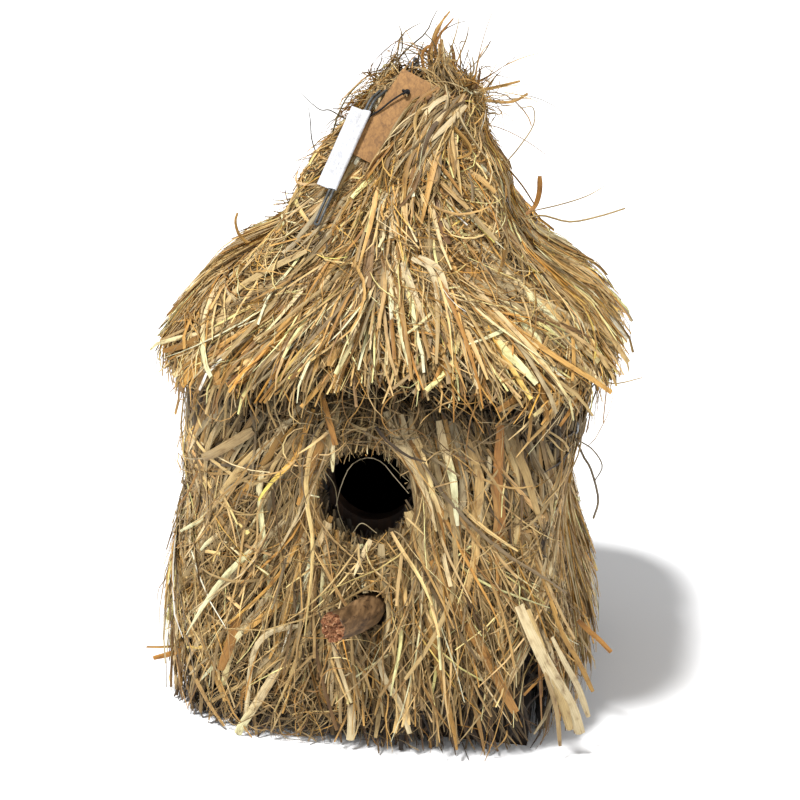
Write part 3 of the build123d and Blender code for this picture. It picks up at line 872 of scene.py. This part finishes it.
LOWER_LAYERS = (
    (460, (0, 16), (50, 95), (0.05, 0.45), (2.0, 5.0), "roof_deep", "fold", 8, {"clumps": 70}),
    (750, (-10, 30), (55, 105), (0.3, 0.95), (0.8, 1.8), "roof", "stem", 9, {"clumps": 80}),
    (1150, (-12, 28), (50, 105), (0.3, 1.0), (1.0, 3.0), "roof", "fold", 9, {"clumps": 100}),
    (2100, (-6, 46), (40, 100), (0.45, 1.03), (0.4, 1.15), "roof", "flat", 10,
     {"roll": 0.9, "wander": 0.01, "curl": 0.012, "waviness": 0.18, "clumps": 150}),
    (120, (-2, 28), (30, 75), (0.9, 1.0), (2.4, 5.2), "blade", "fold", 10, {"tip": 0.9}),
    (110, (-4, 55), (20, 50), (0.85, 1.05), (0.5, 1.8), "wisp", "fold", 9,
     {"lift": 0.3, "stray": 0.6, "curl": 0.02}),
)
UPPER_LAYERS = (
    (280, (0, 34), (35, 80), (0.1, 0.5), (1.8, 4.6), "roof_deep", "fold", 8, {"top": 300, "clumps": 45}),
    (480, (-6, 40), (45, 90), (0.4, 0.98), (0.8, 1.7), "roof", "stem", 9, {"top": 302, "clumps": 60}),
    (520, (-8, 30), (40, 90), (0.6, 1.06), (1.0, 2.7), "roof", "fold", 9, {"top": 302, "clumps": 60}),
    (1300, (-4, 58), (20, 75), (0.6, 1.08), (0.4, 1.1), "roof", "flat", 10,
     {"top": 304, "roll": 0.9, "wander": 0.02, "curl": 0.025, "waviness": 0.25, "stray": 0.25,
      "clumps": 110}),
    (50, (0, 40), (22, 50), (0.95, 1.04), (2.2, 4.4), "blade", "fold", 10, {"top": 300, "tip": 0.9}),
    (90, (0, 55), (18, 45), (0.9, 1.1), (0.5, 1.6), "wisp", "fold", 9,
     {"top": 300, "lift": 0.35, "stray": 0.8, "curl": 0.03}),
)


def hang_layers(bundle, rng, side, course, layers, **common):
    for *layer, more in layers:
        hang(bundle, rng, side, course, *layer, **common, **more)


def wall_straw(side, seed):
    rng = np.random.default_rng(seed)
    bundle = Bundle()
    hang_layers(bundle, rng, side, wall_course, WALL_LAYERS, base=hem)
    tangle(bundle, rng, side, wall_course, 150, (-0.95, 0.95), (4, 172))
    if side == "front":
        hang_layers(bundle, rng, side, wall_course, UNDER_ENTRANCE, base=hem)
        tangle(bundle, rng, side, wall_course, 260, (-0.28, 0.3), (84, 108), (10, 40))
        tangle(bundle, rng, side, wall_course, 300, (-0.62, 0.02), (6, 60))
        tangle(bundle, rng, side, wall_course, 360, (-0.34, 0.42), (150, 172))
        tangle(bundle, rng, side, wall_course, 200, (-0.27, 0.27), (103, 152), (8, 24), depth=(0.6, 1.08))
        for width, colour, points, tip in WALL_SINGLES:
            single(bundle, rng, wall_course, width, colour, points, tip=tip)
        for width, colour, points in CORNER_BLADES:
            single(bundle, rng, None, width, colour, points)
        single(bundle, rng, wall_course, 0.6, (200, 192, 170), HOLE_FIBRE, shape="stem")
        for points in HOLE_FIBRES:
            single(bundle, rng, wall_course, 0.5, (190, 180, 150), points, shape="stem")
    for width, colour, points, shape, wisp_side in WISPS:
        if wisp_side == side:
            single(bundle, rng, None, width, colour, points, shape=shape)
    bundle.object(f"{side}_wall_thatch", [f"{side}_wall_straw"])


def lower_roof_straw(side, seed):
    rng = np.random.default_rng(seed)
    bundle = Bundle()
    hang_layers(bundle, rng, side, roof_course, LOWER_LAYERS, base=eave, top=246.0, fan=0.85)
    tangle(bundle, rng, side, roof_course, 380, (-0.95, 0.95), (180, 240), palette="roof", curl=0.06)
    if side == "front":
        for width, colour, points, tip in LOWER_SINGLES:
            single(bundle, rng, roof_course, width, colour, points, tip=tip)
    bundle.object(f"{side}_lower_thatch", [f"{side}_lower_roof_straw"])


def over_tag(bundle, rng):
    """Strands that lie over the lower right part of the swing tag, and hold it down."""
    level, rising = tag_frame()
    u = np.linspace(0, 1, 12)[None]
    for count, widths, shape, palette in ((70, (0.8, 2.2), "stem", "roof"), (46, (1.4, 3.4), "fold", "roof"),
                                          (90, (0.4, 0.9), "flat", "roof")):
        m = rng.uniform(14.5, 36, count)[:, None]
        v = rng.uniform(-3, 32, count)[:, None] + 9 * (m < 19)
        long = rng.uniform(18, 42, count)[:, None]
        lean = rng.normal(0.12, 0.3, count)[:, None]
        bow = rng.normal(0, 3.5, count)[:, None]
        m = np.maximum(m + long * np.sin(lean) * u + bow * np.sin(math.pi * u), 13.5)
        v = v + long * np.cos(lean) * u
        h = rng.uniform(1.0, 3.2, count)[:, None] + rng.uniform(0, 2.5, count)[:, None] * np.sin(math.pi * u)
        h = h - 1.6 * np.clip((v - TAG_SIZE[1]) / 12, 0, 1)
        points = TAG_CORNER + level * m[..., None] - rising * v[..., None] + FACE * h[..., None]
        tints = tinted(rng, palette, count, 12, np.ones(h.shape))
        normals = np.broadcast_to(FACE, points.shape)
        bundle.strands(rng, points, normals, rng.uniform(*widths, count), tints, shape, roll=0.5)


def upper_roof_straw(side, seed):
    rng = np.random.default_rng(seed)
    bundle = Bundle()
    hang_layers(bundle, rng, side, roof_course, UPPER_LAYERS, base=lip)
    tangle(bundle, rng, side, roof_course, 850, (-0.95, 0.95), (238, 302), widths=(0.3, 0.9),
           depth=(0.8, 1.22), palette="roof", curl=0.07)
    if side == "front":
        over_tag(bundle, rng)
        for width, colour, points, tip in UPPER_SINGLES:
            single(bundle, rng, roof_course, width, colour, points, tip=tip)
    bundle.object(f"{side}_upper_thatch", [f"{side}_upper_roof_straw"])


def crown():
    """The unruly tuft on the apex, with the wisps that stand off the roof."""
    rng = np.random.default_rng(77)
    bundle = Bundle()
    for count, widths, lengths, bend, shape, palette in (
        (22, (0.9, 1.9), (14, 36), 0.06, "stem", "roof"),
        (34, (1.2, 3.0), (12, 32), 0.06, "fold", "roof"),
        (360, (0.35, 0.9), (16, 60), 0.2, "flat", "roof"),
        (120, (0.35, 0.8), (18, 56), 0.22, "flat", "wisp"),
    ):
        turn = rng.uniform(0, 2 * math.pi, count)
        reach = 12 * np.sqrt(rng.uniform(0, 1, count))
        root_z = rng.uniform(282, 298, count)
        start = np.stack((17 + 1.1 * reach * np.cos(turn), 3 + reach * np.sin(turn), root_z), -1)
        tilt = np.radians(rng.uniform(5, 95, count))
        turn = turn * 0.9 + rng.normal(0, 0.9, count)
        lean = np.stack((np.sin(tilt) * np.cos(turn), np.sin(tilt) * np.sin(turn), np.cos(tilt)), -1)
        points = roam(rng, start, lean, rng.uniform(*lengths, count), np.abs(rng.normal(bend, bend, count)),
                      np.abs(rng.normal(0.008, 0.008, count)))
        across = points[..., :2] @ HANGER_ACROSS
        push = np.maximum(5.5 - across, 0) * (points[..., 2] > EYE_BOTTOM_Z)
        points[..., :2] += push[..., None] * HANGER_ACROSS
        points[..., 2] = np.minimum(points[..., 2], 345)
        points, free = clear_tag(points)
        points = resample(points[free], np.zeros(free.sum()), np.ones(free.sum()), 10)
        tints = tinted(rng, palette, len(points), 10, np.ones(points.shape[:2]))
        normals = points - np.array((10.0, 0.0, 290.0))
        normals /= np.linalg.norm(normals, axis=2, keepdims=True)
        width = rng.uniform(*widths, len(points))
        bundle.strands(rng, points, normals, width, tints, shape, roll=1.0, twist=1.5)
    for width, colour, points in (*TUFT, *ROOF_WISPS):
        single(bundle, rng, None, width, colour, points, shape="stem" if width < 1.5 else "fold", tip=0.8)
    bundle.object("crown_thatch", ["crown_tuft"])


# ---------------------------------------------------------------- other pieces

def band(first, second, around):
    """Faces between two rings of vertices, each given by its first index."""
    turns = [(j, (j + 1) % around) for j in range(around)]
    return [(first + j, first + k, second + k, second + j) for j, k in turns]


def branch():
    """The perch: a crooked branch stub with a torn end."""
    root_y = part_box("perch")[1].y / MM
    rng = np.random.default_rng(5)
    route = np.array(((4, root_y, 72), (4, -90, 72), (3.2, -101, 72.2), (-0.6, -112, 73),
                      (-5.2, -119.5, 73.7), (-9.3, -125.4, 74.3)))
    t = np.linspace(0, len(route) - 1, 46)
    line = np.stack([np.interp(t, range(len(route)), route[:, k]) for k in range(3)], -1)
    for _ in range(6):
        line[1:-1] = (line[:-2] + 2 * line[1:-1] + line[2:]) / 4
    tangent = np.gradient(line, axis=0)
    tangent /= np.linalg.norm(tangent, axis=1, keepdims=True)
    side = np.cross(tangent, (0, 0, 1.0))
    side /= np.linalg.norm(side, axis=1, keepdims=True)
    up = np.cross(side, tangent)
    around = 36
    angles = np.linspace(0, 2 * math.pi, around, endpoint=False)
    lumps = sum(a * np.sin(k * angles[None] + p + q * t[:, None]) for k, a, p, q in
                ((2, 0.28, 0.4, 0.5), (3, 0.18, 1.9, -0.7), (5, 0.12, 4.0, 1.3), (7, 0.07, 2.2, 2.1)))
    off = np.angle(np.exp(1j * (angles[None] - 1.2)))
    knot = 0.9 * np.exp(-((t[:, None] - 2.6) / 0.25) ** 2 - (off / 0.5) ** 2)
    r = 7.1 + lumps + knot
    c, s = np.cos(angles)[None, :, None], np.sin(angles)[None, :, None]
    rings = line[:, None] + r[..., None] * (c * side[:, None] + s * up[:, None])
    rings[-1] += tangent[-1] * rng.uniform(-1.3, 0.5, (around, 1))
    verts = list(rings.reshape(-1, 3))
    faces = []
    last = 0
    for _ in rings[1:]:
        faces += band(last, last + around, around)
        last += around
    bark = len(faces)
    for share in (0.8, 0.6, 0.4, 0.2):
        first = len(verts)
        for j in range(around):
            deep = rng.uniform(-1.5, 0.7) - (0.5 if share > 0.7 else 0.0)
            verts.append(line[-1] + (rings[-1, j] - line[-1]) * share + tangent[-1] * deep)
        faces += band(last, first, around)
        last = first
    verts.append(line[-1] - tangent[-1] * 0.6)
    for j in range(around):
        faces.append((last + j, last + (j + 1) % around, len(verts) - 1))
    mesh = bpy.data.meshes.new("branch_perch")
    mesh.from_pydata([tuple(float(c) * MM for c in v) for v in verts], [], faces)
    mesh.materials.append(BARK)
    mesh.materials.append(CUT)
    mesh.polygons.foreach_set("material_index", [0 if i < bark else 1 for i in range(len(faces))])
    mesh.polygons.foreach_set("use_smooth", [i < bark for i in range(len(faces))])
    mesh.update()
    made = shown("branch_perch", mesh)
    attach(made, "house")
    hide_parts("perch")


def tag_thread():
    """The tag's black thread and its knot."""
    low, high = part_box("tag_knot")
    centre = np.array((low + high) / 2) / MM
    t = np.linspace(0, 2 * math.pi, 72, endpoint=False)
    trefoil = (np.sin(t) + 2 * np.sin(2 * t), np.cos(t) - 2 * np.cos(2 * t), -1.2 * np.sin(3 * t))
    loop = 0.52 * np.stack(trefoil, -1)
    loop[:, 2] *= 0.9
    curve = bpy.data.curves.new("thread_knot_line", "CURVE")
    curve.dimensions = "3D"
    spline = curve.splines.new("POLY")
    spline.points.add(len(loop) - 1)
    for point, at in zip(spline.points, loop + centre):
        point.co = (*(at * MM), 1.0)
    spline.use_cyclic_u = True
    curve.bevel_depth = 0.55 * MM
    curve.bevel_resolution = 2
    holder = bpy.data.objects.new("thread_knot_holder", curve)
    mesh = bpy.data.meshes.new_from_object(holder)
    mesh.name = "thread_knot"
    mesh.materials.clear()
    mesh.materials.append(THREAD)
    bpy.data.objects.remove(holder)
    knot = shown("thread_knot", mesh)
    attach(knot, "house")
    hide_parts("tag_knot")

    route = ((-23.8, -32.7, 280), (-20.6, -33.4, 283.9), (-15.5, -33.2, 287.9), (-10.5, -31.5, 290.9),
             (-5.4, -28.9, 295.9), tuple(float(c) for c in centre))
    line = bpy.data.curves.new("tag_thread", "CURVE")
    line.dimensions = "3D"
    string = line.splines.new("NURBS")
    string.points.add(len(route) - 1)
    for point, at in zip(string.points, route):
        point.co = (at[0] * MM, at[1] * MM, at[2] * MM, 1.0)
    string.order_u = 3
    string.use_endpoint_u = True
    line.bevel_depth = 0.45 * MM
    line.bevel_resolution = 3
    line.materials.append(THREAD)
    thread = shown("tag_thread", line)
    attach(thread, "house")
    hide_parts("tag_string")


# ---------------------------------------------------------------- stage

def camera():
    """The photograph's view: from a little above and to the right, tipped a few degrees."""
    azimuth, elevation, tip, distance = math.radians(7), math.radians(19), math.radians(2.8), 0.9
    level = math.cos(elevation)
    view = Vector((-math.sin(azimuth) * level, math.cos(azimuth) * level, -math.sin(elevation)))
    right = Vector((math.cos(azimuth), math.sin(azimuth), 0))
    up = right.cross(view)
    x = right * math.cos(tip) + up * math.sin(tip)
    y = up * math.cos(tip) - right * math.sin(tip)
    data = bpy.data.cameras.new("camera")
    data.sensor_width = 36
    data.lens = 81
    made = shown("camera", data)
    turn = Matrix((x, y, -view)).transposed().to_4x4()
    made.matrix_world = Matrix.Translation(Vector((0.001, 0, 0.141)) - view * distance) @ turn
    bpy.context.scene.camera = made


def floor():
    mesh = bpy.data.meshes.new("floor")
    half = 14.0
    corners = [(-half, -half, 0), (half, -half, 0), (half, half, 0), (-half, half, 0)]
    mesh.from_pydata(corners, [], [(0, 1, 2, 3)])
    m = Nodes("floor_paint", roughness=0.9, specular=0.1)
    mottle = m.noise(m.scaled(m.place(), (3.0, 3.0, 3.0)))
    m.colour(m.ramp(mottle, [(0.3, (0.86, 0.86, 0.86, 1)), (0.7, (0.9, 0.9, 0.9, 1))]))
    mesh.materials.append(m.material)
    made = shown("floor", mesh)


def lamp(name, kind, energy, position, target, size=None, angle=None):
    data = bpy.data.lights.new(name, kind)
    data.energy = energy
    if size is not None:
        data.size = size
    if angle is not None:
        data.angle = math.radians(angle)
    made = shown(name, data)
    made.location = position
    made.rotation_euler = (Vector(target) - Vector(position)).to_track_quat("-Z", "Y").to_euler()


def lights():
    world = bpy.data.worlds.new("sky")
    bpy.context.scene.world = world
    world.use_nodes = True
    world.node_tree.nodes["Background"].inputs["Color"].default_value = (0.97, 0.98, 1.0, 1)
    world.node_tree.nodes["Background"].inputs["Strength"].default_value = 0.5
    lamp("key", "SUN", 4.9, (-0.65, -0.8, 2.2), (0, 0, 0.15), angle=9)
    lamp("fill", "AREA", 7.0, (1.2, -1.2, 0.9), (0, 0, 0.15), size=1.0)
    bpy.context.scene.view_settings.view_transform = "Standard"


camera()
floor()
lights()
tag_thread()
branch()
for number, side_name in enumerate(SIDE_PHI):
    wall_straw(side_name, 100 + number)
    lower_roof_straw(side_name, 200 + number)
    upper_roof_straw(side_name, 300 + number)
crown()

bpy.context.view_layer.update()
